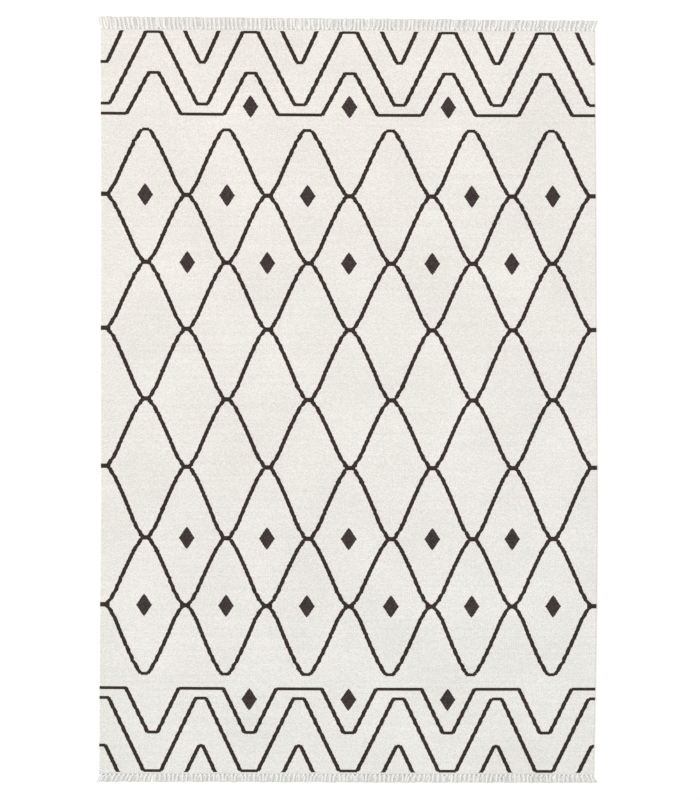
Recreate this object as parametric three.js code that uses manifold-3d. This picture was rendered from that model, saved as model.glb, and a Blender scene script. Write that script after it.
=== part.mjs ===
// A flat-woven wool rug, about 1.6 m wide and 2.4 m long, lying flat on the floor.
// The cloth is one thick sheet with rounded selvedges. At each end its warp yarns are gathered
// into knotted locks, which lie on the floor, lean this way and that, and fan out at the corners.
// +X runs across the rug, +Y towards its head end, and +Z up from the floor.
// The origin is on the floor, under the middle of the whole rug with its fringes.
import * as THREE from "three";
import { mergeVertices } from "three/addons/utils/BufferGeometryUtils.js";
import Module from "manifold-3d";

const wasm = await Module();
wasm.setup();

// The cloth, in millimetres.
const CLOTH_THICKNESS = 5;
const CLOTH_SECTIONS = 16;
const SELVEDGE_STEPS = 4;

// How far each selvedge lies from the middle line, in nine rows evenly spaced from head to foot.
// The rug is a little fuller below its middle and draws in again at the foot end.
const SELVEDGE_ROWS = [
  { left: 803, right: 797 },
  { left: 801.5, right: 799 },
  { left: 801, right: 801 },
  { left: 801.5, right: 802 },
  { left: 802, right: 804 },
  { left: 801, right: 805.5 },
  { left: 803.5, right: 804 },
  { left: 805.5, right: 800 },
  { left: 807, right: 794 },
];

// The heading is the packed edge that holds the locks, parted from the cloth by a hair's breadth.
const HEADING_GAP = 0.3;
const HEADING_WIDTH = 4;
const HEADING_HEIGHT = 4.6;

// The locks of one end, evenly spaced between the corners.
const LOCKS_PER_END = 110;
const CORNER_INSET = 1;
const ROOT_BURIED = 1.5;
const KNOT_MIDDLE = 4;
const TAIL_START = 9;
const TOP_SHARE = 0.55;

// A lock from its buried root over its knot to its tip: reach is in millimetres from the heading,
// and tail is the share of the loose tail that is added to it.
const LOCK_SECTIONS = [
  { reach: -ROOT_BURIED, tail: 0, width: 7.5, height: 3.8 },
  { reach: KNOT_MIDDLE, tail: 0, width: 10.5, height: 6.8 },
  { reach: TAIL_START, tail: 0, width: 7.5, height: 4.2 },
  { reach: TAIL_START, tail: 0.5, width: 10.5, height: 3.6 },
  { reach: TAIL_START, tail: 1, width: 11.3, height: 2.4 },
];

// Small unevenness between neighbours, worked out from the lock's number.
const WANDER_SIDE = 0.7;
const WANDER_LENGTH = 1.6;
const WANDER_STEP_SIDE = 2.4;
const WANDER_STEP_LENGTH = 1.7;

// The two ends. Root lines are the heading's outer face, with y at the left and right corners.
// Lean is how far a lock's tip lies to the right of its root, at places across the rug.
const HEAD_END = {
  name: "fringe_head_end",
  outward: 1,
  row: 0,
  rootLeft: 1205.5,
  rootRight: 1197.5,
  lengthLeft: 41,
  lengthRight: 34.5,
  lean: [
    { across: -804, shift: -7 },
    { across: -724, shift: -9 },
    { across: -594, shift: -4 },
    { across: -351, shift: -3 },
    { across: -60, shift: -1 },
    { across: 86, shift: 3 },
    { across: 167, shift: 1 },
    { across: 297, shift: 6 },
    { across: 491, shift: 7 },
    { across: 700, shift: 7 },
    { across: 797, shift: 15 },
  ],
};
const FOOT_END = {
  name: "fringe_foot_end",
  outward: -1,
  row: SELVEDGE_ROWS.length - 1,
  rootLeft: -1201.5,
  rootRight: -1205,
  lengthLeft: 31,
  lengthRight: 31.5,
  lean: [
    { across: -807, shift: -9 },
    { across: -772, shift: -13 },
    { across: -691, shift: -10 },
    { across: -594, shift: -3 },
    { across: -351, shift: 0 },
    { across: -157, shift: -6 },
    { across: 5, shift: -1 },
    { across: 140, shift: -3 },
    { across: 225, shift: -9 },
    { across: 313, shift: -3 },
    { across: 491, shift: 0 },
    { across: 740, shift: 4 },
    { across: 794, shift: 16 },
  ],
};

// A closed solid through rings of points, each ring convex and running anticlockwise when it is
// seen from the side that the rings advance to.
function loft(rings) {
  const count = rings[0].length;
  const index = [];
  for (let ring = 0; ring + 1 < rings.length; ring += 1) {
    for (let i = 0; i < count; i += 1) {
      const a = ring * count + i;
      const b = ring * count + ((i + 1) % count);
      index.push(a, b, b + count, a, b + count, a + count);
    }
  }
  const last = (rings.length - 1) * count;
  for (let i = 1; i + 1 < count; i += 1) {
    index.push(0, i + 1, i);
    index.push(last, last + i, last + i + 1);
  }
  const geometry = new THREE.BufferGeometry().setFromPoints(rings.flat());
  geometry.setIndex(index);
  return geometry;
}

// One closed solid out of several that reach into each other.
function fuse(geometries) {
  const solids = geometries.map((geometry) => {
    const merged = mergeVertices(geometry);
    return new wasm.Manifold(
      new wasm.Mesh({
        numProp: 3,
        vertProperties: merged.attributes.position.array,
        triVerts: new Uint32Array(merged.index.array),
      }),
    );
  });
  const joined = wasm.Manifold.union(solids).getMesh();
  const geometry = new THREE.BufferGeometry();
  geometry.setAttribute("position", new THREE.BufferAttribute(joined.vertProperties, 3));
  geometry.setIndex(new THREE.BufferAttribute(joined.triVerts, 1));
  return geometry;
}

function clothGeometry() {
  const radius = CLOTH_THICKNESS / 2;
  const edge = HEADING_WIDTH + HEADING_GAP;
  const widths = new THREE.SplineCurve(
    SELVEDGE_ROWS.map((row) => new THREE.Vector2(row.left, row.right)),
  );
  const rings = [];
  for (let section = CLOTH_SECTIONS; section >= 0; section -= 1) {
    const down = section / CLOTH_SECTIONS;
    const { x: left, y: right } = widths.getPoint(down);
    const yLeft = THREE.MathUtils.lerp(HEAD_END.rootLeft - edge, FOOT_END.rootLeft + edge, down);
    const yRight = THREE.MathUtils.lerp(HEAD_END.rootRight - edge, FOOT_END.rootRight + edge, down);
    const ring = [];
    for (let step = 0; step <= SELVEDGE_STEPS; step += 1) {
      const turn = Math.PI * (0.5 + step / SELVEDGE_STEPS);
      const x = -left + radius + radius * Math.cos(turn);
      ring.push(new THREE.Vector3(x, yLeft, radius - radius * Math.sin(turn)));
    }
    for (let step = 0; step <= SELVEDGE_STEPS; step += 1) {
      const turn = Math.PI * (1.5 + step / SELVEDGE_STEPS);
      const x = right - radius + radius * Math.cos(turn);
      ring.push(new THREE.Vector3(x, yRight, radius - radius * Math.sin(turn)));
    }
    rings.push(ring);
  }
  return loft(rings);
}

// The tips' shift to the right at one place across the rug.
function leanAt(table, across) {
  const next = table.findIndex((row) => row.across > across);
  if (next < 1) {
    return table.at(next).shift;
  }
  const [before, after] = [table[next - 1], table[next]];
  const share = (across - before.across) / (after.across - before.across);
  return THREE.MathUtils.lerp(before.shift, after.shift, share);
}

function lockGeometry(end, number, left, right) {
  const share = (number + 0.5) / LOCKS_PER_END;
  const across = THREE.MathUtils.lerp(-left + CORNER_INSET, right - CORNER_INSET, share);
  const rootY = THREE.MathUtils.lerp(end.rootLeft, end.rootRight, share);
  const fullLength = THREE.MathUtils.lerp(end.lengthLeft, end.lengthRight, share);
  const length = fullLength - WANDER_LENGTH * Math.sin(WANDER_STEP_LENGTH * number) ** 2;
  const lean = leanAt(end.lean, across) + WANDER_SIDE * Math.sin(WANDER_STEP_SIDE * number);
  const rings = LOCK_SECTIONS.map(({ reach, tail, width, height }) => {
    const out = reach + tail * (length - TAIL_START);
    const bend = Math.max(out, 0) / length;
    const x = across + lean * bend;
    const y = rootY + end.outward * out;
    return [
      new THREE.Vector3(x - width / 2, y, 0),
      new THREE.Vector3(x - (TOP_SHARE * width) / 2, y, height),
      new THREE.Vector3(x + (TOP_SHARE * width) / 2, y, height),
      new THREE.Vector3(x + width / 2, y, 0),
    ];
  });
  if (end.outward < 0) {
    rings.reverse();
  }
  return loft(rings);
}

function headingGeometry(end, left, right) {
  const inner = -end.outward * HEADING_WIDTH;
  const corners = [
    { x: -left, y: end.rootLeft + Math.min(inner, 0) },
    { x: right, y: end.rootRight + Math.min(inner, 0) },
    { x: right, y: end.rootRight + Math.max(inner, 0) },
    { x: -left, y: end.rootLeft + Math.max(inner, 0) },
  ];
  const ringAt = (height) => corners.map(({ x, y }) => new THREE.Vector3(x, y, height));
  return loft([ringAt(0), ringAt(HEADING_HEIGHT)]);
}

function fringeGeometry(end) {
  const { left, right } = SELVEDGE_ROWS[end.row];
  const pieces = [headingGeometry(end, left, right)];
  for (let number = 0; number < LOCKS_PER_END; number += 1) {
    pieces.push(lockGeometry(end, number, left, right));
  }
  return fuse(pieces);
}

function woolPiece(name, geometry, colour, roughness) {
  const material = new THREE.MeshStandardMaterial({ color: colour, roughness, metalness: 0 });
  const mesh = new THREE.Mesh(geometry, material);
  mesh.name = name;
  return mesh;
}

const rug = new THREE.Group();
rug.add(woolPiece("woven_field", clothGeometry(), 0xeeebe4, 0.9));
rug.add(woolPiece(HEAD_END.name, fringeGeometry(HEAD_END), 0xe6e3dc, 0.95));
rug.add(woolPiece(FOOT_END.name, fringeGeometry(FOOT_END), 0xe6e3dc, 0.95));

const box = new THREE.Box3().setFromObject(rug);
const middle = box.getCenter(new THREE.Vector3());
for (const piece of rug.children) {
  piece.position.set(-middle.x, -middle.y, -box.min.z);
}

export default rug;
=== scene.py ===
# %% [markdown]
# A flat-woven wool rug, a kilim, lying on a floor. The real one is made on a loom: strong warp
# yarns run the length of the rug, and soft weft yarns are packed over them so tightly that
# only weft shows. Each warp stands up as a rib, each pass of weft is called a pick, and a
# figure is woven by changing from off-white to dark weft. This lesson dresses a plain model of
# the rug with that cloth, rib by rib, and with the knotted warp ends that make its fringe.

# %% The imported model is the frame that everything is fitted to
import math

import bpy
import numpy as np
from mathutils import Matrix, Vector


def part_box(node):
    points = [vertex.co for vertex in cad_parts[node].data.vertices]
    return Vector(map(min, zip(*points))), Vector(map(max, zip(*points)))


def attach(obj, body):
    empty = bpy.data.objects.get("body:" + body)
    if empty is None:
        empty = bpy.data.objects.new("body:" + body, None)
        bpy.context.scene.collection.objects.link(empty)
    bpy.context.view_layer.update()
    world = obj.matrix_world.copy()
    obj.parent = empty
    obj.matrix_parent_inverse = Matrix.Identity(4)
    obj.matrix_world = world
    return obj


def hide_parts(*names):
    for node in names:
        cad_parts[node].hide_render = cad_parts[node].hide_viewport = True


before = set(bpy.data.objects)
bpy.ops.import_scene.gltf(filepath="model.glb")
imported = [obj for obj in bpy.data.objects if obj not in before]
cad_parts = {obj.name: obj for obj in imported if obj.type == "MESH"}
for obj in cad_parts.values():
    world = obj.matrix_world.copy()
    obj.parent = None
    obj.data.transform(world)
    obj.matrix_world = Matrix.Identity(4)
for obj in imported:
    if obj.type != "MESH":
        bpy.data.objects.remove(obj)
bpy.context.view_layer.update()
MM = 0.001

# %% [markdown]
# Three small helpers serve the whole lesson. A colour is written as the hex value that a paint
# chart gives, and one function turns it to the linear values that a shader wants. One function
# adds a shader node, whatever its kind, with its settings and links. One makes a piece from
# points and faces, gives it its material and says which body it belongs to.


# %% Helpers for colours, shader nodes and pieces
def linear(hex_colour):
    """Turns an sRGB hex colour into a linear RGBA value."""
    channels = [int(hex_colour[i : i + 2], 16) / 255 for i in (1, 3, 5)]
    low = [c / 12.92 for c in channels]
    high = [((c + 0.055) / 1.055) ** 2.4 for c in channels]
    return (*[a if c <= 0.04045 else b for a, b, c in zip(low, high, channels)], 1.0)


def add_node(tree, kind, inputs=None, **settings):
    """Adds one shader node. Inputs are values, or outputs of other nodes to link."""
    made = tree.nodes.new(kind)
    for name, value in settings.items():
        setattr(made, name, value)
    for socket, value in (inputs or {}).items():
        if isinstance(value, bpy.types.NodeSocket):
            tree.links.new(value, made.inputs[socket])
        else:
            made.inputs[socket].default_value = value
    return made


def make_piece(name, points, faces, material, weave=None):
    """Makes a smooth mesh piece in metres. Weave gives each point its rib, pick and fill."""
    mesh = bpy.data.meshes.new(name)
    mesh.from_pydata(np.asarray(points).tolist(), [], [list(map(int, f)) for f in faces])
    if weave is not None:
        layer = mesh.attributes.new("weave", "FLOAT_VECTOR", "POINT")
        layer.data.foreach_set("vector", np.asarray(weave, dtype=np.float32).ravel())
    mesh.polygons.foreach_set("use_smooth", [True] * len(mesh.polygons))
    mesh.materials.append(material)
    mesh.update()
    piece = bpy.data.objects.new(name, mesh)
    bpy.context.scene.collection.objects.link(piece)
    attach(piece, "root")
    mesh.calc_loop_triangles()
    print(name, len(mesh.loop_triangles), "triangles")
    return piece


# %% [markdown]
# The rug is seen from straight above, with no sign of perspective, so the camera is far away
# and has a long lens. One pixel of the 800 along the picture's height covers 3.239 mm of floor.
# The picture's middle lies a few millimetres from the rug's own middle.

# %% The camera, straight above
PICTURE_PIXELS = 800
PIXEL = 3.239 * MM
LENS_MM = 200
SENSOR_MM = 36
PICTURE_CENTRE = (8.25 * MM, -1.75 * MM)
CLIP_TIMES = 10

camera_data = bpy.data.cameras.new("camera")
camera_data.lens = LENS_MM
camera_data.sensor_width = SENSOR_MM
camera = bpy.data.objects.new("camera", camera_data)
camera_height = PICTURE_PIXELS * PIXEL * LENS_MM / SENSOR_MM
camera.location = (*PICTURE_CENTRE, camera_height)
camera_data.clip_end = CLIP_TIMES * camera_height
bpy.context.scene.collection.objects.link(camera)
bpy.context.scene.camera = camera
print("camera height, m:", round(camera_height, 3))

# %% [markdown]
# The floor is plain and pale, and bright enough to print as white. The light is a soft studio
# one: a pale sky all round, and one broad, warm softbox above the head end and left of the
# rug's middle, whose light falls off a little towards the foot. A weak slanting light from the
# left shades the right side of each rib and of the right selvedge.

# %% Floor and light
FLOOR_SIDE = 40.0
FLOOR_COLOUR = "#FBFBFB"
FLOOR_ROUGHNESS = 0.8
SKY_COLOUR = "#FFFFFF"
SKY_STRENGTH = 0.84
SOFTBOX_COLOUR = "#FFD5B0"
SOFTBOX_SIDE = 2.6
SOFTBOX_POWER = 51
SOFTBOX_PLACE = (-0.9, 2.0, 4.6)
SOFTBOX_AIM = (0.0, -0.2, 0)
SLANT_STRENGTH = 0.85
SLANT_SPREAD = math.radians(25)
SLANT_ELEVATION = math.radians(40)
SLANT_FROM = math.radians(170)

# Matt white paint gives a clean white ground and only the faintest shadow under the rug.
floor_material = bpy.data.materials.new("white_painted_floor")
floor_material.use_nodes = True
floor_shader = floor_material.node_tree.nodes["Principled BSDF"]
floor_shader.inputs["Base Color"].default_value = linear(FLOOR_COLOUR)
floor_shader.inputs["Roughness"].default_value = FLOOR_ROUGHNESS
floor_mesh = bpy.data.meshes.new("floor")
far = FLOOR_SIDE / 2
floor_corners = [(-far, -far, 0), (far, -far, 0), (far, far, 0), (-far, far, 0)]
floor_mesh.from_pydata(floor_corners, [], [(0, 1, 2, 3)])
floor_mesh.materials.append(floor_material)
floor = bpy.data.objects.new("floor", floor_mesh)
bpy.context.scene.collection.objects.link(floor)

softbox_data = bpy.data.lights.new("softbox", "AREA")
softbox_data.size = SOFTBOX_SIDE
softbox_data.energy = SOFTBOX_POWER
softbox_data.color = linear(SOFTBOX_COLOUR)[:3]
softbox = bpy.data.objects.new("softbox", softbox_data)
softbox.location = SOFTBOX_PLACE
towards = Vector(SOFTBOX_AIM) - Vector(SOFTBOX_PLACE)
softbox.rotation_euler = towards.to_track_quat("-Z", "Y").to_euler()
bpy.context.scene.collection.objects.link(softbox)

slant_data = bpy.data.lights.new("slanting_light", "SUN")
slant_data.energy = SLANT_STRENGTH
slant_data.angle = SLANT_SPREAD
slant = bpy.data.objects.new("slanting_light", slant_data)
slant.rotation_euler = (0, math.pi / 2 - SLANT_ELEVATION, SLANT_FROM)
bpy.context.scene.collection.objects.link(slant)

world = bpy.data.worlds.new("sky")
world.use_nodes = True
sky = world.node_tree.nodes["Background"]
sky.inputs["Color"].default_value = linear(SKY_COLOUR)
sky.inputs["Strength"].default_value = SKY_STRENGTH
bpy.context.scene.world = world
bpy.context.scene.view_settings.view_transform = "Standard"
print("softbox distance, m:", round(towards.length, 2))

# %% [markdown]
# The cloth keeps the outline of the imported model: its sides bow out by a few millimetres and
# its ends run slightly aslant. A weaver counts in ribs across and millimetres of weft along, so
# the chart below uses an even cloth of 1600 by 2400 mm, and one function lays any point of that
# chart on the real, uneven rug. In mid-cloth the weft sags a few millimetres towards the foot,
# the ribs bow as much to the right, and they are a little wider than near the selvedges. The
# chart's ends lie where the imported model's locks begin, past its cloth and heading. At the foot
# the real cloth runs 5 mm further. The cloth stops 2.2 mm short of the locks' roots, to leave
# room for the last, twined picks.

# %% From the weaver's chart to the rug's real outline
CHART_WIDTH = 1600
CHART_LENGTH = 2400
RIBS = 282
PICK = 2.4
MODEL_HEADING = 4.3
HEAD_ROOT = 1200
FOOT_ROOT = -1205.2
HEADING = 2.2
WEFT_SAG = 4.2
WEFT_TILT = 0.8
SAG_ONSET = 6
RIB_BOW = (4.0, -1.1)
RIB_CROWDING = (-2.7, 1.4)
CLOTH_TOP = 4.8 * MM
CLOTH_BOTTOM = 0.2 * MM
EDGE_RADIUS = (CLOTH_TOP - CLOTH_BOTTOM) / 2
MIDDLE_HEIGHT = (CLOTH_TOP + CLOTH_BOTTOM) / 2
RIB_PITCH = CHART_WIDTH / RIBS
RIM_BAND = 0.2 * MM

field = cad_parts["woven_field"].data
field_points = np.array([v.co[:] for v in field.vertices])
field_middle = (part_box("woven_field")[0][2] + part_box("woven_field")[1][2]) / 2
rim = field_points[abs(field_points[:, 2] - field_middle) < RIM_BAND]
left_rim = rim[rim[:, 0] < 0]
right_rim = rim[rim[:, 0] > 0]
left_rim = left_rim[np.argsort(left_rim[:, 1])]
right_rim = right_rim[np.argsort(right_rim[:, 1])]
print("rim stations left and right:", len(left_rim), len(right_rim))


def lay(across, along, height):
    """Lays chart millimetres (from the middle) and a height in metres on the real rug."""
    across, along, height = np.broadcast_arrays(across, along, height)
    u = across / CHART_WIDTH + 0.5
    v = along / CHART_LENGTH + 0.5
    foot = (left_rim[0, 1] * (1 - u) + right_rim[0, 1] * u) - MODEL_HEADING * MM
    head = (left_rim[-1, 1] * (1 - u) + right_rim[-1, 1] * u) + MODEL_HEADING * MM
    sag = WEFT_SAG * (1 - (2 * u - 1) ** 2) + WEFT_TILT * (2 * u - 1)
    y = foot * (1 - v) + head * v - sag * MM * np.clip(SAG_ONSET * v * (1 - v), 0, 1)
    left = np.interp(y, left_rim[:, 1], left_rim[:, 0]) + EDGE_RADIUS
    right = np.interp(y, right_rim[:, 1], right_rim[:, 0]) - EDGE_RADIUS
    once, twice = (np.sin(turns * math.pi * u) for turns in (2, 4))
    drift = RIB_CROWDING[0] * once + RIB_CROWDING[1] * twice
    bow = RIB_BOW[0] * 4 * v * (1 - v) + RIB_BOW[1] * np.sin(2 * math.pi * v)
    drift = drift + bow * (1 - (2 * u - 1) ** 4)
    return np.stack([left * (1 - u) + right * u + drift * MM, y, height], axis=-1)


corner = lay(-CHART_WIDTH / 2, CHART_LENGTH / 2, 0)
print("rib pitch, mm:", round(RIB_PITCH, 3), "head end's left corner, m:", corner.round(4))

# %% [markdown]
# Wool is dull, so its colour does most of the work. Undyed fleece is never one white: each
# batch of weft differs a little, which shows as faint bands along the picks, and handling
# leaves soft, cloudy patches. A picture of wool could be laid over the cloth, but noise never
# repeats and has real sizes: patches about 250 mm across, bands a few picks high and most of a
# metre long, and fibre tufts of about 4 mm.

# %% Wool with patches, bands and tufts
PATCH = 250 * MM
BAND_HIGH = 9 * MM
BAND_LONG = 700 * MM
TUFT = 4 * MM
NOISE_LOW = 0.25
NOISE_HIGH = 0.75
SHEEN_ROUGHNESS = 0.5
SHINE = 0.2


def wool(name, hex_colour, patch, band, tuft, roughness, fuzz):
    """Matt wool with cloudy patches, weft bands and tufts, each as a share of its colour."""
    material = bpy.data.materials.new(name)
    material.use_nodes = True
    tree = material.node_tree
    shader = tree.nodes["Principled BSDF"]
    place = add_node(tree, "ShaderNodeTexCoord").outputs["Object"]
    total = None
    # Each noise has a strength, a scale along each axis, and an amount of fine detail.
    scales = [
        (patch, (1 / PATCH, 1 / PATCH, 1 / PATCH), 3.0),
        (band, (1 / BAND_LONG, 1 / BAND_HIGH, 1 / BAND_LONG), 2.0),
        (tuft, (1 / TUFT, 1 / TUFT, 1 / TUFT), 2.0),
    ]
    for strength, scale, detail in scales:
        spread = add_node(
            tree, "ShaderNodeVectorMath", {0: place, 1: scale}, operation="MULTIPLY"
        )
        noise = add_node(
            tree,
            "ShaderNodeTexNoise",
            {"Vector": spread.outputs[0], "Scale": 1.0, "Detail": detail},
        )
        part = add_node(
            tree,
            "ShaderNodeMapRange",
            {
                "Value": noise.outputs[0],
                "From Min": NOISE_LOW,
                "From Max": NOISE_HIGH,
                "To Min": 1 - strength,
                "To Max": 1 + strength,
            },
        ).outputs[0]
        if total is not None:
            part = add_node(
                tree, "ShaderNodeMath", {0: total, 1: part}, operation="MULTIPLY"
            ).outputs[0]
        total = part
    colour = add_node(
        tree,
        "ShaderNodeVectorMath",
        {0: linear(hex_colour)[:3], "Scale": total},
        operation="SCALE",
    )
    tree.links.new(colour.outputs[0], shader.inputs["Base Color"])
    shader.inputs["Roughness"].default_value = roughness
    shader.inputs["Sheen Weight"].default_value = fuzz
    shader.inputs["Sheen Roughness"].default_value = SHEEN_ROUGHNESS
    shader.inputs["Specular IOR Level"].default_value = SHINE
    return material


print("noise sizes, m:", PATCH, BAND_HIGH, BAND_LONG, TUFT)

# %% [markdown]
# Close up, the imported weft looks like rows of small grains, one for each pick on each rib, half
# a pick higher on every other rib. The grains are far finer than the ribs, so they are bump, tone
# and painted shade in the gaps between grains, while the ribs are in the mesh. Each woven piece
# has an attribute called weave, which tells the shader which rib and which pick a point is on.
# Its third value is 1 on the runs that fill the small diamonds, because those look greyer than
# the thin lines. The fringe's colour is darkened towards the floor, as painted shade for the
# little light that comes in there.

# %% Grains of weft, grey fills and painted shade
GRAIN_DEPTH = 0.25 * MM
# The share by which painted shade darkens the gaps between grains.
PAINTED_GRAIN_SHADE = 0.1
FILL_GREY = (0.3, 0.42, 0.62)
# Painted shade on the fringe: its colour darkens by up to a share, from the higher height down to
# the lower.
PAINTED_SHADE_FROM = 0.6 * MM
PAINTED_SHADE_TO = 3.2 * MM
PAINTED_SHADE_SHARE = 0.25


def dim(material, share):
    """Multiplies a material's colour by the share, or share per channel, that a node gives."""
    tree = material.node_tree
    colour = tree.nodes["Principled BSDF"].inputs["Base Color"]
    dimmed = add_node(
        tree,
        "ShaderNodeVectorMath",
        {0: colour.links[0].from_socket, 1: share},
        operation="MULTIPLY",
    )
    tree.links.new(dimmed.outputs[0], colour)


def weave_grains(material, tone):
    """Adds the grains of packed weft with their own tones and painted shade between them, and
    greys the filled diamonds.
    """
    tree = material.node_tree
    weave = add_node(tree, "ShaderNodeAttribute", attribute_name="weave").outputs["Vector"]
    parts = add_node(tree, "ShaderNodeSeparateXYZ", {0: weave})
    rib = add_node(tree, "ShaderNodeMath", {0: parts.outputs[0]}, operation="FLOOR")
    offset = add_node(
        tree, "ShaderNodeMath", {0: rib.outputs[0], 1: 0.5}, operation="MULTIPLY"
    )
    pick = add_node(
        tree, "ShaderNodeMath", {0: parts.outputs[1], 1: offset.outputs[0]}, operation="ADD"
    )
    turn = add_node(
        tree, "ShaderNodeMath", {0: pick.outputs[0], 1: math.pi}, operation="MULTIPLY"
    )
    wave = add_node(tree, "ShaderNodeMath", {0: turn.outputs[0]}, operation="SINE")
    round_top = add_node(tree, "ShaderNodeMath", {0: wave.outputs[0]}, operation="ABSOLUTE")
    bump = add_node(
        tree,
        "ShaderNodeBump",
        {"Height": round_top.outputs[0], "Distance": GRAIN_DEPTH, "Strength": 1.0},
    )
    tree.links.new(bump.outputs[0], tree.nodes["Principled BSDF"].inputs["Normal"])
    row = add_node(tree, "ShaderNodeMath", {0: pick.outputs[0]}, operation="FLOOR")
    cell = add_node(tree, "ShaderNodeCombineXYZ", {0: rib.outputs[0], 1: row.outputs[0]})
    chance = add_node(tree, "ShaderNodeTexWhiteNoise", {"Vector": cell.outputs[0]})
    # The first share is each grain's own tone. The second is painted shade, darker in the gaps
    # between grains.
    for value, darkest, palest in (
        (chance.outputs["Value"], 1 - tone, 1 + tone),
        (round_top.outputs[0], 1 - PAINTED_GRAIN_SHADE, 1.0),
    ):
        share = add_node(
            tree, "ShaderNodeMapRange", {"Value": value, "To Min": darkest, "To Max": palest}
        )
        dim(material, share.outputs[0])
    fill = add_node(
        tree,
        "ShaderNodeVectorMath",
        {0: parts.outputs[2], 1: FILL_GREY, 2: (1.0, 1.0, 1.0)},
        operation="MULTIPLY_ADD",
    )
    dim(material, fill.outputs[0])


def painted_floor_shade(material):
    """Darkens a material towards the floor: painted shade between the yarns."""
    tree = material.node_tree
    place = add_node(tree, "ShaderNodeTexCoord").outputs["Object"]
    parts = add_node(tree, "ShaderNodeSeparateXYZ", {0: place})
    painted_shade_level = add_node(
        tree,
        "ShaderNodeMapRange",
        {
            "Value": parts.outputs[2],
            "From Min": PAINTED_SHADE_FROM,
            "From Max": PAINTED_SHADE_TO,
            "To Min": 1 - PAINTED_SHADE_SHARE,
            "To Max": 1.0,
        },
    )
    dim(material, painted_shade_level.outputs[0])


print("grain, mm:", round(RIB_PITCH, 1), "by", PICK)

# %% [markdown]
# The rug has three wools: undyed weft for the ground, dyed weft for the figure, and the bare
# warp yarn of the fringe. Dyed fleece takes its dye unevenly, so its grains differ most.

# %% The rug's three wools
UNDYED_TONES = 0.06
DYED_TONES = 0.35

# Undyed weft gives a chalky off-white without gloss, on which the ribs are faint, soft lines.
undyed_wool = wool(
    "undyed_wool_weft_faced",
    "#E3E5E2",
    patch=0.04,
    band=0.03,
    tuft=0.13,
    roughness=0.92,
    fuzz=0.1,
)
weave_grains(undyed_wool, UNDYED_TONES)

# Dyed weft gives a brown that is nearly black, and looks woven close up, not printed.
dark_wool = wool(
    "dark_brown_wool_weft",
    "#352B28",
    patch=0.12,
    band=0.1,
    tuft=0.5,
    roughness=0.9,
    fuzz=0.1,
)
weave_grains(dark_wool, DYED_TONES)

# Bare warp gives the fringe a colder, cleaner white than the cloth's, with painted shade towards
# the floor between the yarns.
warp_yarn = wool(
    "plied_wool_warp",
    "#EBEEEE",
    patch=0.03,
    band=0.02,
    tuft=0.06,
    roughness=0.95,
    fuzz=0.1,
)
painted_floor_shade(warp_yarn)
print("materials:", undyed_wool.name, dark_wool.name, warp_yarn.name)

# %% [markdown]
# The ground cloth is one closed sheet of wool, 4.6 mm thick. It could be a plain slab with a
# bump, but then its edges and its grazing views would be dead flat. So the slab is lofted from
# cross-sections, and each cross-section rises and falls over all 282 ribs on both faces and
# goes round the selvedges. A rib is broad on top and has a narrow groove on each side.

# %% A cross-section of the cloth
RIB_RELIEF = 0.45 * MM
RIB_FULLNESS = 0.8
RIB_SHARES = np.array([0, 0.25, 0.5, 0.75])
TOP_POINTS = RIBS * len(RIB_SHARES) + 1
SELVEDGE_POINTS = 5


def rib_dip(share):
    """How far the cloth dips below a rib's crest, at a share of the rib's width."""
    return RIB_RELIEF * (1 - np.sin(math.pi * np.asarray(share)) ** RIB_FULLNESS)


def ground_ring(along, squash):
    """One closed cross-section: top from left to right, then back along the underside."""
    shares = np.tile(RIB_SHARES, RIBS)
    across = (np.repeat(np.arange(RIBS), len(RIB_SHARES)) + shares) * RIB_PITCH
    across = np.append(across, CHART_WIDTH) - CHART_WIDTH / 2
    dip = np.append(rib_dip(shares), 0)
    dip[0] = 0
    top = lay(across, along, CLOTH_TOP - dip)
    under = lay(across, along, CLOTH_BOTTOM + dip)[::-1]
    turns = math.pi * np.arange(1, SELVEDGE_POINTS) / SELVEDGE_POINTS
    bulge = EDGE_RADIUS * np.sin(turns)
    rise = EDGE_RADIUS * np.cos(turns)
    count = len(turns)
    right = [top[-1, 0] + bulge, np.full(count, top[-1, 1]), MIDDLE_HEIGHT + rise]
    left = [top[0, 0] - bulge, np.full(count, top[0, 1]), MIDDLE_HEIGHT - rise]
    points = np.concatenate([top, np.stack(right, -1), under, np.stack(left, -1)])
    points[:, 2] = MIDDLE_HEIGHT + squash * (points[:, 2] - MIDDLE_HEIGHT)
    ribs_over = (across / CHART_WIDTH + 0.5) * RIBS
    ribs_round = [np.full(count, RIBS - 0.5), np.full(count, 0.5)]
    ribs_here = np.concatenate([ribs_over, ribs_round[0], ribs_over[::-1], ribs_round[1]])
    weave = np.stack([ribs_here, np.full(len(points), along / PICK), np.zeros(len(points))], -1)
    return points, weave


print("points in a cross-section:", 2 * (TOP_POINTS + SELVEDGE_POINTS - 1))

# %% [markdown]
# The section hardly changes along the cloth, so 38 cross-sections are enough to follow its
# outline. Two of them lie close behind each end, and the end itself is thinner, which rounds
# off the last picks. Short faces from top to underside close the two ends.

# %% The ground cloth, ribs and all
CLOTH_ROWS = 38
END_STEP = 1.5
END_SQUASH = 0.8

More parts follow.
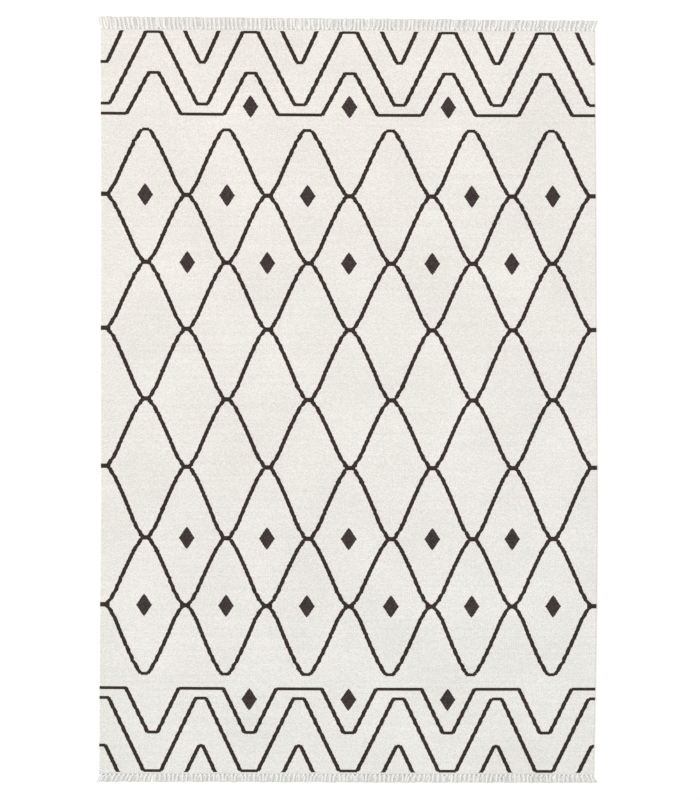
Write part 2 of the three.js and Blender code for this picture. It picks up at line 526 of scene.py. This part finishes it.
rings, weaves = [], []
rows = np.linspace(FOOT_ROOT + HEADING, HEAD_ROOT - HEADING, CLOTH_ROWS)
rows[1:3] = rows[0] + END_STEP * np.array([1, 2])
rows[-3:-1] = rows[-1] - END_STEP * np.array([2, 1])
for row, along in enumerate(rows):
    squash = END_SQUASH if row in (0, CLOTH_ROWS - 1) else 1
    ring, weave = ground_ring(along, squash)
    rings.append(ring)
    weaves.append(weave)
ring_count = len(rings[0])
faces = []
for row in range(CLOTH_ROWS - 1):
    start = row * ring_count
    for i in range(ring_count):
        j = (i + 1) % ring_count
        faces.append((start + i, start + j, start + ring_count + j, start + ring_count + i))
under_start = TOP_POINTS + SELVEDGE_POINTS - 1
last = (CLOTH_ROWS - 1) * ring_count
for i in range(TOP_POINTS - 1):
    below = under_start + TOP_POINTS - 1 - i
    faces.append((i, below, below - 1, i + 1))
    faces.append((last + i, last + i + 1, last + below - 1, last + below))
left_start = under_start + TOP_POINTS
round_right = [TOP_POINTS - 1 + i for i in range(SELVEDGE_POINTS + 1)]
round_left = [left_start - 1 + i for i in range(SELVEDGE_POINTS)] + [0]
for loop in (round_right, round_left):
    faces.append(tuple(loop[::-1]))
    faces.append(tuple(last + i for i in loop))
ground = make_piece(
    "ground_cloth",
    np.concatenate(rings),
    faces,
    undyed_wool,
    np.concatenate(weaves),
)
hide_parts("woven_field")

# %% [markdown]
# The figure is woven, so it is built of dark runs: on each rib, a run is a stretch of dark
# weft. It could be painted on, but a woven edge has the cloth's own steps. The weaver's chart
# is drawn in strokes, with two pens: a narrow one four picks high for bars, and a broad one,
# about two ribs wide and two picks high, for slopes. Each pen is given by how far it reaches
# across and along from its middle.
#
# Six chains of rounded diamonds fill the field, side by side. Where diamonds meet, their ends
# are flat bars a few ribs wide, and the outermost bars run on to the selvedges. The sides of a
# diamond step quickly near its ends and slowly in between. The chains end in wider bars, with
# sides that start more steeply.

# %% The weaver's pens and the field's lattice
FLAT_PEN = (0.2 * RIB_PITCH, 2 * PICK)
SLOPE_PEN = (1.05 * RIB_PITCH, 2.2)
CHAINS = 6
CHAIN_PITCH = 263.4
LATTICE_ROWS = [879.5, 666.5, 449, 234, 7.5, -211.5, -441, -659, -883]
LAST_ROW = len(LATTICE_ROWS) - 1
BAR_HALF = 8.3
CAP_HALF = 12.4
BAR_RISE = 2.4
SIDE_ALONG = [0, 0.027, 0.09, 0.19, 0.4, 0.6, 0.81, 0.91, 0.973, 1]
SIDE_ACROSS = [0, 0.055, 0.142, 0.249, 0.434, 0.599, 0.762, 0.872, 0.95, 1]
CAP_ACROSS = [0, 0.032, 0.105, 0.22, 0.414, 0.585, 0.753, 0.868, 0.948, 1]


def side_stroke(x0, y0, x1, y1, profile):
    """A diamond's side between two bars, which follows a profile of shares across."""
    shares = zip(profile, SIDE_ALONG)
    return [(x0 + (x1 - x0) * across, y0 + (y1 - y0) * along) for across, along in shares]


strokes = []
lattice_left = -CHAIN_PITCH * CHAINS / 2
for upper in range(LAST_ROW):
    above = LATTICE_ROWS[upper] - BAR_RISE
    below = LATTICE_ROWS[upper + 1] + BAR_RISE
    near_half = CAP_HALF if upper in (0, LAST_ROW - 1) else BAR_HALF
    for chain in range(CHAINS):
        middle = lattice_left + (chain + 0.5) * CHAIN_PITCH
        for side in (-1, 1):
            near = middle + side * near_half
            far = middle + side * (CHAIN_PITCH / 2 - BAR_HALF)
            if upper == 0:
                stroke = side_stroke(near, above, far, below, CAP_ACROSS)
            elif upper == LAST_ROW - 1:
                stroke = side_stroke(near, below, far, above, CAP_ACROSS)
            elif upper % 2 == 0:
                stroke = side_stroke(near, above, far, below, SIDE_ACROSS)
            else:
                stroke = side_stroke(far, above, near, below, SIDE_ACROSS)
            strokes.append(stroke)
for row, y in enumerate(LATTICE_ROWS):
    at_chain = row % 2 == 0
    bar_half = CAP_HALF if row in (0, LAST_ROW) else BAR_HALF
    rises = {0: [-BAR_RISE], LAST_ROW: [BAR_RISE]}.get(row, [BAR_RISE, -BAR_RISE])
    for place in range(CHAINS if at_chain else CHAINS + 1):
        middle = lattice_left + (place + (0.5 if at_chain else 0)) * CHAIN_PITCH
        left = -CHART_WIDTH if not at_chain and place == 0 else middle - bar_half
        right = CHART_WIDTH if not at_chain and place == CHAINS else middle + bar_half
        strokes += [[(left, y + rise), (right, y + rise)] for rise in rises]
print("lattice strokes:", len(strokes))

# %% [markdown]
# Each end has a border of three zigzags with flat turns, one nested in the next: a tall wave, a
# low wave, and a steep wave that is cut off by the end of the cloth. All three share one
# repeat, 318 mm, and their turns line up, but the tall and low waves' troughs lie a hair left
# of halfway. The outermost flats run on into the selvedges. The two ends mirror each other but
# for a few picks. A wave is listed as its crest and trough along the chart, and half of what
# each flat measures across.

# %% The borders' zigzags
WAVE_REPEAT = 317.8
WAVE_SHIFT = 5.5
WAVE_REACH = 2
TROUGH_SHIFT = -1.6
BORDERS = [
    {"crest": 1192, "trough": 959.5, "crest_flat": 24, "trough_flat": 17},
    {"crest": 1060, "trough": 927, "crest_flat": 16, "trough_flat": 71},
    {"crest": 1411, "trough": 1094, "crest_flat": 0, "trough_flat": 8},
    {"crest": -1195, "trough": -959.3, "crest_flat": 28, "trough_flat": 17},
    {"crest": -1070, "trough": -927.6, "crest_flat": 16, "trough_flat": 73},
    {"crest": -1430, "trough": -1113, "crest_flat": 0, "trough_flat": 6},
]
for wave in BORDERS:
    halfway = WAVE_REPEAT / 2 - wave["trough_flat"]
    shift = TROUGH_SHIFT if wave["crest_flat"] else 0
    points = [(-CHART_WIDTH, wave["trough"])]
    for turn in range(-WAVE_REACH, WAVE_REACH + 1):
        crest = WAVE_SHIFT + turn * WAVE_REPEAT
        points.append((crest + shift - halfway, wave["trough"]))
        points.append((crest - wave["crest_flat"], wave["crest"]))
        points.append((crest + wave["crest_flat"], wave["crest"]))
        points.append((crest + shift + halfway, wave["trough"]))
    points.append((CHART_WIDTH, wave["trough"]))
    strokes.append(points)
print("strokes with borders:", len(strokes))

# %% [markdown]
# Small solid diamonds fill the middles of the two rows of rounded diamonds nearest each end,
# and sit inside the low wave's crests. One of the first row, in the fourth chain, was left out
# by the weaver, and it stays left out here. A small diamond is nine ribs wide, and the list
# gives half its height on the middle rib, on the next one, and so on. The last value lies
# outside, and only shapes the ends of the outermost run.

# %% The small diamonds
DIAMOND_REACH = [36, 30.2, 21.7, 12.3, 4.2, -4]
FILLED_ROWS = ((1, True, 3), (2, False, None), (6, False, None), (7, True, None))
UNDER_CRESTS = (953, -962)

diamonds = []
for row, at_chain, skipped in FILLED_ROWS:
    for place in range(CHAINS if at_chain else CHAINS - 1):
        middle = lattice_left + (place + (0.5 if at_chain else 1)) * CHAIN_PITCH
        if place != skipped:
            diamonds.append((middle, LATTICE_ROWS[row]))
for along in UNDER_CRESTS:
    for turn in (-1, 0, 1):
        diamonds.append((WAVE_SHIFT + turn * WAVE_REPEAT, along))
print("small diamonds:", len(diamonds))

# %% [markdown]
# Now the chart is woven. On each rib that the pen of a stroke touches, it darkens a stretch of
# weft. In a slope the weft climbs as it goes over the rib, so the stretch's ends follow the
# slope over most of the rib's width, and only small steps are left. The slopes also swing to
# and fro by up to 2.5 mm, because the weaver moves over two or three ribs at a time. Each end
# of the cloth closes with a pick or two of plain ground.

# %% From strokes to stretches of dark weft
HEAD_LIMIT = 1195.5
FOOT_LIMIT = -1199.3
STEP_SLANT = 0.8
SWINGS = ((1.5, 25.2), (1.0, 28.7))
RUN_SHARES = np.array([0, 0.25, 0.5, 0.75, 1])


def rib_middle(rib):
    """Where a rib's crest lies across the chart."""
    return (rib + 0.5) * RIB_PITCH - CHART_WIDTH / 2


def rib_at(x):
    """Which rib's crest lies at a place across the chart, with its fraction."""
    return (x + CHART_WIDTH / 2) / RIB_PITCH - 0.5


def pen_edge(segment, x, reach):
    """Where the pen's upper or lower edge lies on the chart, at places across a segment."""
    (x0, y0), (x1, y1) = segment
    y = y0 + (y1 - y0) * np.clip((x - x0) / (x1 - x0), 0, 1) + reach
    swing = sum(size * np.sin(2 * math.pi * y / repeat) for size, repeat in SWINGS)
    return y if y0 == y1 else y + swing


over_rib = STEP_SLANT * (RUN_SHARES - 0.5)
stretches = [[] for _ in range(RIBS)]
for stroke in strokes:
    lowest = max(FOOT_LIMIT, min(y for _, y in stroke) - FLAT_PEN[1])
    highest = min(HEAD_LIMIT, max(y for _, y in stroke) + FLAT_PEN[1])
    for segment in zip(stroke, stroke[1:]):
        left, right = sorted(x for x, _ in segment)
        if left == right:
            continue
        pen_across, pen_along = FLAT_PEN if segment[0][1] == segment[1][1] else SLOPE_PEN
        first = max(0, math.ceil(rib_at(left - pen_across)))
        final = math.floor(rib_at(right + pen_across))
        for rib in range(first, min(final, RIBS - 1) + 1):
            x = rib_middle(rib) + over_rib * RIB_PITCH
            sides = (x - pen_across, x + pen_across)
            low = np.minimum(*(pen_edge(segment, side, -pen_along) for side in sides))
            high = np.maximum(*(pen_edge(segment, side, pen_along) for side in sides))
            ends = (np.clip(low, lowest, HEAD_LIMIT), np.clip(high, FOOT_LIMIT, highest))
            if (ends[1] - ends[0]).max() > 0:
                stretches[rib].append((*ends, 0))
for middle, along in diamonds:
    centre_rib = round(rib_at(middle))
    widest = len(DIAMOND_REACH) - 2
    for step in range(-widest, widest + 1):
        reach = np.interp(abs(step + over_rib), range(len(DIAMOND_REACH)), DIAMOND_REACH)
        stretches[centre_rib + step].append((along - reach, along + reach, 1))
print("stretches of dark weft:", sum(len(parts) for parts in stretches))

# %% [markdown]
# Stretches that meet, or that nearly meet, become one run, because the weaver carries the dark
# weft on. What is shorter than half a pick can't be woven and is dropped. Each run keeps its
# rib, its lower and upper ends, and whether it fills a small diamond.

# %% From stretches to dark runs
HALF_PICK = PICK / 2

runs = []
for rib, parts in enumerate(stretches):
    joined = []
    for lows, highs, fill in sorted(parts, key=lambda part: part[0].min()):
        if joined and lows.min() <= joined[-1][1].max() + HALF_PICK:
            before = joined.pop()
            lows = np.minimum(before[0], lows)
            highs = np.maximum(before[1], highs)
        joined.append((lows, highs, fill))
    runs += [(rib, *run) for run in joined if (run[1] - run[0]).max() > HALF_PICK]
longest = max((highs - lows).max() for _, lows, highs, _ in runs)
print("dark runs:", len(runs), "longest, mm:", round(longest))

# %% [markdown]
# A run could be a patch of colour on the cloth, but its ends need to be finer than the cloth's
# mesh, so each run is a strip of its own that follows the rib. Dyed yarn is a little fuller, so
# a run stands 0.2 mm proud of the ground, and its sides reach down into the ground so that no
# gap shows. The rug is woven in one layer, so the same runs show on the underside. Where a run
# lies on the outermost rib, its weft turns round the selvedge, and a curved strip joins the two
# faces.

# %% The dark figure on both faces
RUN_PROUD = 0.2 * MM
RUN_ROOT = 0.6 * MM
RUN_SHORTEST = 0.4
INSIDE_RIB = (0.01, 0.99)
WRAP_STEPS = 6
WRAP_LAP = 0.3 * RIB_PITCH * MM


def strips(shares, offsets, heights, chosen):
    """Closed strips along the chosen runs, from a section of shares, offsets and heights.

    The end caps have points of their own, so that their slant doesn't shade the strip's top.
    """
    ribs, lows, highs, fills = (np.array(column, dtype=float) for column in zip(*chosen))
    rib = ribs[:, None]
    places = np.rint(shares * (len(RUN_SHARES) - 1)).astype(int)
    lows, highs = lows[:, places], highs[:, places]
    across = (rib + shares) * RIB_PITCH - CHART_WIDTH / 2
    half = np.maximum(highs - lows, RUN_SHORTEST) / 2
    ends = [(lows + highs) / 2 - half, (lows + highs) / 2 + half]
    points = np.stack([lay(across, end, heights[None, :]) for end in ends], axis=1)
    points[..., 0] += offsets
    ribs_here = rib + np.clip(shares, *INSIDE_RIB)
    fill = np.broadcast_to(fills[:, None], across.shape)
    weave = [np.stack([ribs_here, end / PICK, fill], -1) for end in ends]
    points = np.concatenate([points, points], axis=1)
    weave = np.stack(weave * 2, axis=1)
    count = len(shares)
    single = [(i, (i + 1) % count, (i + 1) % count + count, i + count) for i in range(count)]
    single += [tuple(reversed(range(2 * count, 3 * count))), tuple(range(3 * count, 4 * count))]
    starts = range(0, 4 * count * len(rib), 4 * count)
    faces = [tuple(start + i for i in loop) for start in starts for loop in single]
    return points.reshape(-1, 3), faces, weave.reshape(-1, 3)


def join(parts):
    """Joins several lots of points and faces, and lays further columns end to end."""
    points, lots, *others = zip(*parts)
    starts = np.cumsum([0] + [len(lot) for lot in points])
    faces = [tuple(start + i for i in face) for start, lot in zip(starts, lots) for face in lot]
    return np.concatenate(points), faces, *(np.concatenate(other) for other in others)


run_dip = rib_dip(np.minimum(RUN_SHARES, 1 - RUN_SHARES))
run_shares = np.concatenate([RUN_SHARES, [1, 0]])
run_rise = np.concatenate([RUN_PROUD - run_dip, [-RUN_ROOT, -RUN_ROOT]])
still = np.zeros(len(run_shares))
faces_up = strips(run_shares, still, CLOTH_TOP + run_rise, runs)
faces_down = strips(run_shares[::-1], still, (CLOTH_BOTTOM - run_rise)[::-1], runs)

# A wrap's section: over the selvedge from the top to the underside, and back inside the cloth.
turns = np.linspace(0, math.pi, WRAP_STEPS + 1)
outer = EDGE_RADIUS + RUN_PROUD
inner = EDGE_RADIUS - RUN_ROOT
over = [-WRAP_LAP, *(outer * np.sin(turns)), -WRAP_LAP]
back = [-WRAP_LAP, *(inner * np.sin(turns[::-1])), -WRAP_LAP]
over_high = [outer - RUN_PROUD / 2, *(outer * np.cos(turns)), RUN_PROUD / 2 - outer]
back_high = [-inner, *(inner * np.cos(turns[::-1])), inner]
wrap_out = np.array(over + back)
wrap_high = MIDDLE_HEIGHT + np.array(over_high + back_high)
right_runs = [run for run in runs if run[0] == RIBS - 1]
left_runs = [run for run in runs if run[0] == 0]
wraps = [
    strips(np.ones(len(wrap_out)), wrap_out, wrap_high, right_runs),
    strips(np.zeros(len(wrap_out)), -wrap_out[::-1], wrap_high[::-1], left_runs),
]
print("runs that turn round a selvedge:", len(left_runs) + len(right_runs))

points, faces, weave = join([faces_up, *wraps])
figure_top = make_piece("dark_figure_top", points, faces, dark_wool, weave)
points, faces, weave = faces_down
figure_under = make_piece(
    "dark_figure_underside", points, faces, dark_wool, weave
)

# %% [markdown]
# At each end the warp goes on past the cloth. A warp yarn is plied from two strands, which
# shows as a twist. A round tube with a bump would keep a smooth outline, so the tube's section
# has two lobes, one for each strand, and turns along the yarn.


# %% A tube of plied yarn
def tube(path, radii, sides, twist, lobe, flatten=1.0):
    """A closed tube along a path, in mm. Its section has two lobes and turns by twist."""
    path = np.asarray(path, dtype=float)
    ahead = np.gradient(path, axis=0)
    ahead /= np.linalg.norm(ahead, axis=1)[:, None]
    side = np.cross(ahead, (0, 0, 1))
    side /= np.linalg.norm(side, axis=1)[:, None]
    up = np.cross(side, ahead)
    angles = 2 * math.pi * np.arange(sides) / sides
    radius = np.asarray(radii)[:, None] * (
        1 + lobe * np.cos(2 * (angles[None, :] - np.asarray(twist)[:, None]))
    )
    ring = (
        path[:, None]
        + (radius * np.cos(angles))[..., None] * side[:, None]
        + (flatten * radius * np.sin(angles))[..., None] * up[:, None]
    )
    steps = len(path)
    faces = []
    for step in range(steps - 1):
        for i in range(sides):
            j = (i + 1) % sides
            a, b = step * sides + i, step * sides + j
            faces.append((a, a + sides, b + sides, b))
    faces.append(tuple(range(sides)))
    faces.append(tuple((steps - 1) * sides + i for i in reversed(range(sides))))
    return ring.reshape(-1, 3), faces


sample, sample_faces = tube([(0, 0, 0), (0, 1, 0), (0, 2, 0)], [1, 1, 1], 6, [0, 0, 0], 0)
print("points and faces of a short, six-sided tube:", len(sample), len(sample_faces))

# %% [markdown]
# The warp ends are gathered into locks. Each lock is knotted close to the cloth so that the
# weft can't slip. A true knot, with each yarn led round and through, would hide most of its
# surface inside. So the knot is a lumpy, flattened tube, with one thick yarn wound over it to
# the left or to the right.

# %% A knot, sizes in mm
KNOT_START = -0.5
KNOT_LONG = 7.5
KNOT_MIDDLE = 4.2
KNOT_WIDE = 8.2
KNOT_HIGH = 6.4
KNOT_SWELL = np.array([0.62, 0.9, 1.0, 1.0, 0.86, 0.5])
KNOT_SIDES = 8
KNOT_TURN = 0.9
KNOT_LOBE = 0.1
WRAP_RADIUS = 1.3
WRAP_PROUD = 0.5
WRAP_POINTS = 12
WRAP_ADVANCE = 1.9
WRAP_FROM = -0.2
WRAP_TO = 1.3
YARN_SIDES = 6


def knot(rng, root, slant, outward):
    """The tubes of a lock's knot: its body, and the yarn that is wound over it."""
    out = np.linspace(KNOT_START, KNOT_LONG, len(KNOT_SWELL))
    level = np.full(len(out), KNOT_HIGH / 2)
    path = np.stack([root[0] + slant * out, root[1] + outward * out, level], -1)
    swell = (KNOT_WIDE / 2 - WRAP_PROUD) * KNOT_SWELL
    turn = rng.uniform(0, math.pi) + KNOT_TURN * np.arange(len(out))
    body = tube(path, swell, KNOT_SIDES, turn, KNOT_LOBE, KNOT_HIGH / KNOT_WIDE)

    hand = rng.choice((-1, 1))
    turn = np.linspace(WRAP_FROM, WRAP_TO, WRAP_POINTS) * math.pi
    out = KNOT_MIDDLE + np.linspace(-WRAP_ADVANCE, WRAP_ADVANCE, WRAP_POINTS)
    x = root[0] + slant * out + hand * (KNOT_WIDE / 2 - WRAP_RADIUS) * np.cos(turn)
    z = KNOT_HIGH / 2 + (KNOT_HIGH / 2 - WRAP_RADIUS) * np.sin(turn)
    path = np.stack([x, root[1] + outward * out, z], -1)
    return [body, tube(path, np.full(WRAP_POINTS, WRAP_RADIUS), YARN_SIDES, turn, 0)]


print("knot, mm:", KNOT_WIDE, "by", KNOT_LONG - KNOT_START, "by", KNOT_HIGH)

# %% [markdown]
# Below its knot a lock opens into eleven plied yarns. Six spread on the floor until they meet
# the next lock's, and five lie heaped on them in two layers, which sink towards their tips. A
# lock of loose fibres would look soft, but the real one keeps the twist of its yarns.

# %% The yarns below a knot, sizes in mm
# Each yarn has a place across the lock and a layer.
LOCK_YARNS = (
    (-6.2, 0),
    (-3.7, 0),
    (-1.2, 0),
    (1.2, 0),
    (3.7, 0),
    (6.2, 0),
    (-2.6, 1),
    (0.0, 1),
    (2.6, 1),
    (-1.1, 2),
    (1.2, 2),
)
YARN_START = 0.5
YARN_RADIUS = 1.15
YARN_LAYER = 1.75
YARN_STEPS = 9
STEP_CROWDING = 1.15
PLY_TURN = 9.0
PLY_LOBE = 0.16
FAN_ROOT = 0.7
FAN_START = 7.0
FAN_END = 15.0
HEAP_SINK = 0.4
TIP_TAPER = 0.75
# How much the locks and yarns differ by chance, as a spread or as a lowest and highest value.
STRAY = 2.6
BEND = 1.2
PLUMP = (0.8, 1.15)
PLACE_STRAY = 0.35
CUT_SHORT = 1.6
GIRTH = (0.92, 1.08)


def lock_yarns(rng, root, slant, length, outward):
    """The tubes of the yarns below a knot, some spread on the floor and some heaped on them."""
    stray = rng.normal(0, STRAY)
    bend = rng.normal(0, BEND)
    plump = rng.uniform(*PLUMP)
    tubes = []
    for place, layer in LOCK_YARNS:
        heaped = min(layer, 1)
        tip = place * (plump if heaped else 1) + heaped * stray + rng.normal(0, PLACE_STRAY)
        along = np.linspace(0, 1, YARN_STEPS) ** STEP_CROWDING
        start = KNOT_MIDDLE if heaped else YARN_START
        out = start + (length - start - rng.uniform(0, CUT_SHORT)) * along
        opened = np.clip((out - FAN_START) / (FAN_END - FAN_START), 0, 1)
        fan = FAN_ROOT + (1 - FAN_ROOT) * opened * opened * (3 - 2 * opened)
        x = root[0] + slant * out + tip * (1 if heaped else fan)
        x = x + bend * np.sin(math.pi * along)
        z = YARN_RADIUS + layer * YARN_LAYER * (1 - HEAP_SINK * along**2)
        path = np.stack([x, root[1] + outward * out, z], -1)
        radii = YARN_RADIUS * rng.uniform(*GIRTH) * np.ones(YARN_STEPS)
        radii[-1] *= TIP_TAPER
        twist = rng.uniform(0, math.pi) + 2 * math.pi * out / PLY_TURN
        tubes.append(tube(path, radii, YARN_SIDES, twist, PLY_LOBE))
    return tubes


print("yarns in a lock:", len(LOCK_YARNS))

# %% [markdown]
# Each end has 110 locks, cut to length. They lean this way and that, as feet and brooms have
# left them, and the lists below give how far their tips lean to the right at places across the
# rug. Between cloth and locks the last picks are twined, which shows as a two-ply cord along
# the end of the cloth. A single model of a lock could be repeated, but the eye would find the
# repeat at once, so each lock is made anew with a little chance.

# %% The two fringes, sizes in mm
LOCKS = 110
CORNER_INSET = 1.0
ROOT_STRAY = 0.8
LENGTH_STRAY = 0.9
LEAN_STRAY = 1.9
CORD_WIDE = 3.8
CORD_MIDDLE = 2.9
CORD_SIDES = 8
CORD_LOBE = 0.12
CORD_STEPS = 4
HEAD_FRINGE = {
    "name": "fringe_yarns_head_end",
    "cord": "twined_picks_head_end",
    "node": "fringe_head_end",
    "seed": 8,
    "outward": 1,
    "root": HEAD_ROOT,
    "length": (41, 34.5),
    "lean_at": [-804, -724, -594, -351, -60, 86, 167, 297, 491, 700, 797],
    "lean": [-7, -9, -4, -3, -1, 3, 1, 6, 7, 7, 15],
}
FOOT_FRINGE = {
    "name": "fringe_yarns_foot_end",
    "cord": "twined_picks_foot_end",
    "node": "fringe_foot_end",
    "seed": 6,
    "outward": -1,
    "root": FOOT_ROOT,
    "length": (25.9, 26.4),
    "lean_at": [-807, -772, -691, -594, -351, -157, 5, 140, 225, 313, 491, 740, 794],
    "lean": [-9, -13, -10, -3, 0, -6, -1, -3, -9, -3, 0, 4, 16],
}


def make_fringe(fringe):
    """The locks of one end as one piece, and its twined cord as another."""
    rng = np.random.default_rng(fringe["seed"])
    outward = fringe["outward"]
    corners = lay(np.array([-CHART_WIDTH / 2, CHART_WIDTH / 2]), fringe["root"], 0) / MM
    corners[0, 0] -= EDGE_RADIUS / MM
    corners[1, 0] += EDGE_RADIUS / MM
    tubes = []
    for lock in range(LOCKS):
        share = (lock + 0.5) / LOCKS
        root = corners[0] * (1 - share) + corners[1] * share
        root[0] += CORNER_INSET * (1 - 2 * share) + rng.uniform(-ROOT_STRAY, ROOT_STRAY)
        length = np.interp(share, (0, 1), fringe["length"])
        length = length - rng.uniform(-LENGTH_STRAY, LENGTH_STRAY)
        lean = np.interp(root[0], fringe["lean_at"], fringe["lean"])
        slant = (lean + rng.uniform(-LEAN_STRAY, LEAN_STRAY)) / length
        tubes += knot(rng, root, slant, outward)
        tubes += lock_yarns(rng, root, slant, length, outward)

    steps = LOCKS * CORD_STEPS + 1
    share = np.linspace(0, 1, steps)
    path = corners[0] * (1 - share[:, None]) + corners[1] * share[:, None]
    path[:, 1] -= outward * HEADING / 2
    path[:, 2] = CORD_MIDDLE
    twist = 2 * math.pi * share * LOCKS / 2
    points, faces = tube(path, np.full(steps, CORD_WIDE / 2), CORD_SIDES, twist, CORD_LOBE)
    cord = make_piece(fringe["cord"], points * MM, faces, undyed_wool)
    points, faces = join(tubes)
    points = points * MM
    points[:, 2] = np.maximum(points[:, 2], 0)
    piece = make_piece(fringe["name"], points, faces, warp_yarn)
    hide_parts(fringe["node"])
    return piece, cord


fringe_head, cord_head = make_fringe(HEAD_FRINGE)
fringe_foot, cord_foot = make_fringe(FOOT_FRINGE)
